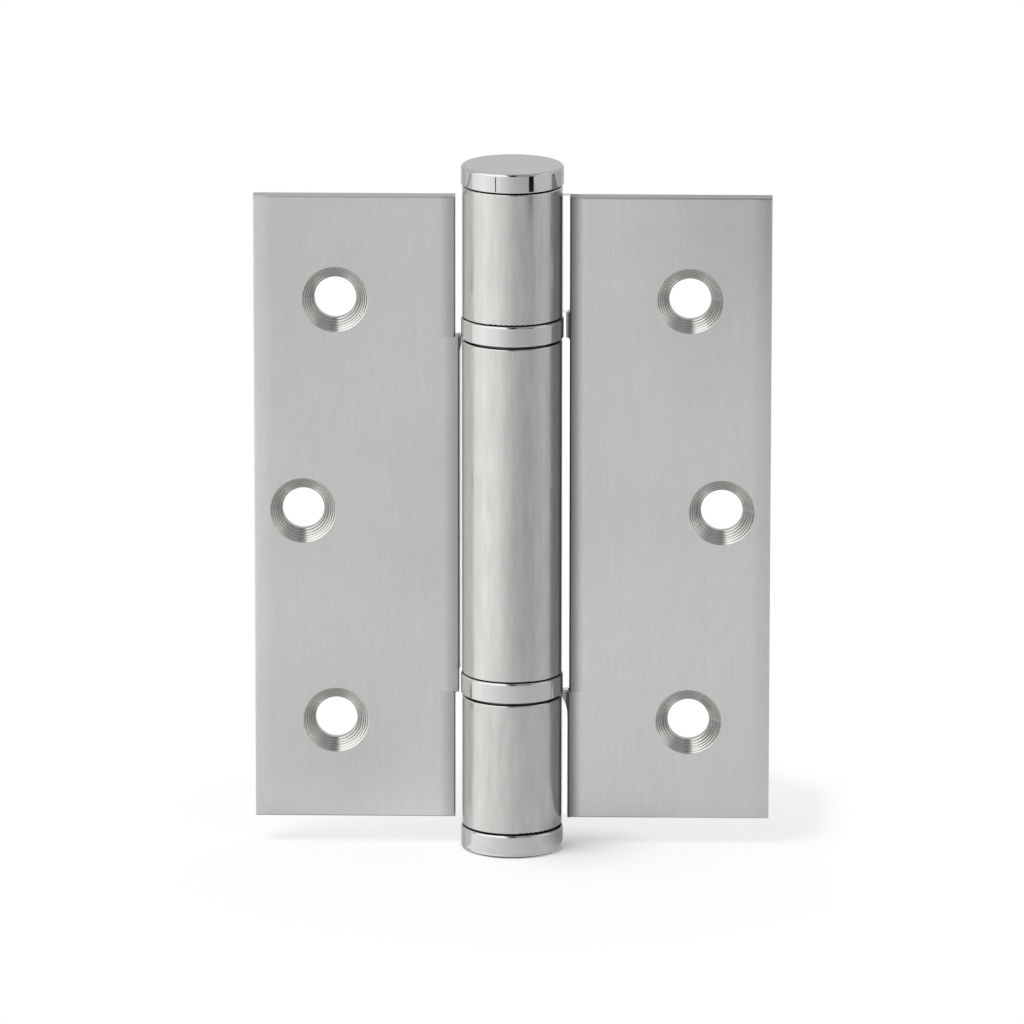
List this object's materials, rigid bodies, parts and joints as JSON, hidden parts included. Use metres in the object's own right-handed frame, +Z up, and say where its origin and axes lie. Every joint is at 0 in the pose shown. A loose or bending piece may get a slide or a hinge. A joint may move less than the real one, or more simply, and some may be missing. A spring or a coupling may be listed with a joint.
{
  "type": "butt hinge",
  "caption": "Heavy-duty bearing butt hinge in stainless steel: flat countersunk leaves rolled into a round barrel with polished bearing rings and flat end caps.",
  "frame": {"origin": "on the pin axis at the underside of the bottom cap", "axes": "+Z up the pin axis, X across the open leaves with the two-knuckle leaf on +X, countersunk faces towards -Y"},
  "size_m": [0.0826, 0.0164, 0.1121],
  "materials": {
    "satin_steel": "satin, brushed along the pin",
    "polished_steel": "mirror polished",
    "ground_steel": "ground",
    "bearing_bronze": "sintered bronze"
  },
  "bodies": {
    "frame_leaf": {"right_leaf": "satin_steel", "hinge_pin": "ground_steel", "top_cap": "polished_steel", "bottom_cap": "polished_steel", "upper_knuckle_sleeve": "bearing_bronze", "lower_knuckle_sleeve": "bearing_bronze", "upper_bearing_ring": "polished_steel", "upper_bearing_top_race": "ground_steel", "lower_bearing_bottom_race": "ground_steel"},
    "door_leaf": {"left_leaf": "satin_steel", "middle_knuckle_upper_bush": "bearing_bronze", "middle_knuckle_lower_bush": "bearing_bronze", "upper_bearing_bottom_race": "ground_steel", "lower_bearing_ring": "polished_steel", "lower_bearing_top_race": "ground_steel"},
    "upper_cage": {"upper_ball_cage": "bearing_bronze", "upper_bearing_balls": "ground_steel"},
    "lower_cage": {"lower_ball_cage": "bearing_bronze", "lower_bearing_balls": "ground_steel"}
  },
  "joints": [
    {"name": "leaf_swing", "type": "hinge", "parent": "frame_leaf", "child": "door_leaf", "pos_m": [0, 0, 0.0564], "axis": [0, 0, 1], "range_deg": [-130, 180]},
    {"name": "upper_cage_turn", "type": "hinge", "parent": "frame_leaf", "child": "upper_cage", "pos_m": [0, 0, 0.0856], "axis": [0, 0, 1], "range_deg": [-65, 90]},
    {"name": "lower_cage_turn", "type": "hinge", "parent": "frame_leaf", "child": "lower_cage", "pos_m": [0, 0, 0.0272], "axis": [0, 0, 1], "range_deg": [-65, 90]}
  ],
  "couplings": [
    {"joint": "upper_cage_turn", "follows": "leaf_swing", "ratio": 0.5},
    {"joint": "lower_cage_turn", "follows": "leaf_swing", "ratio": 0.5}
  ]
}
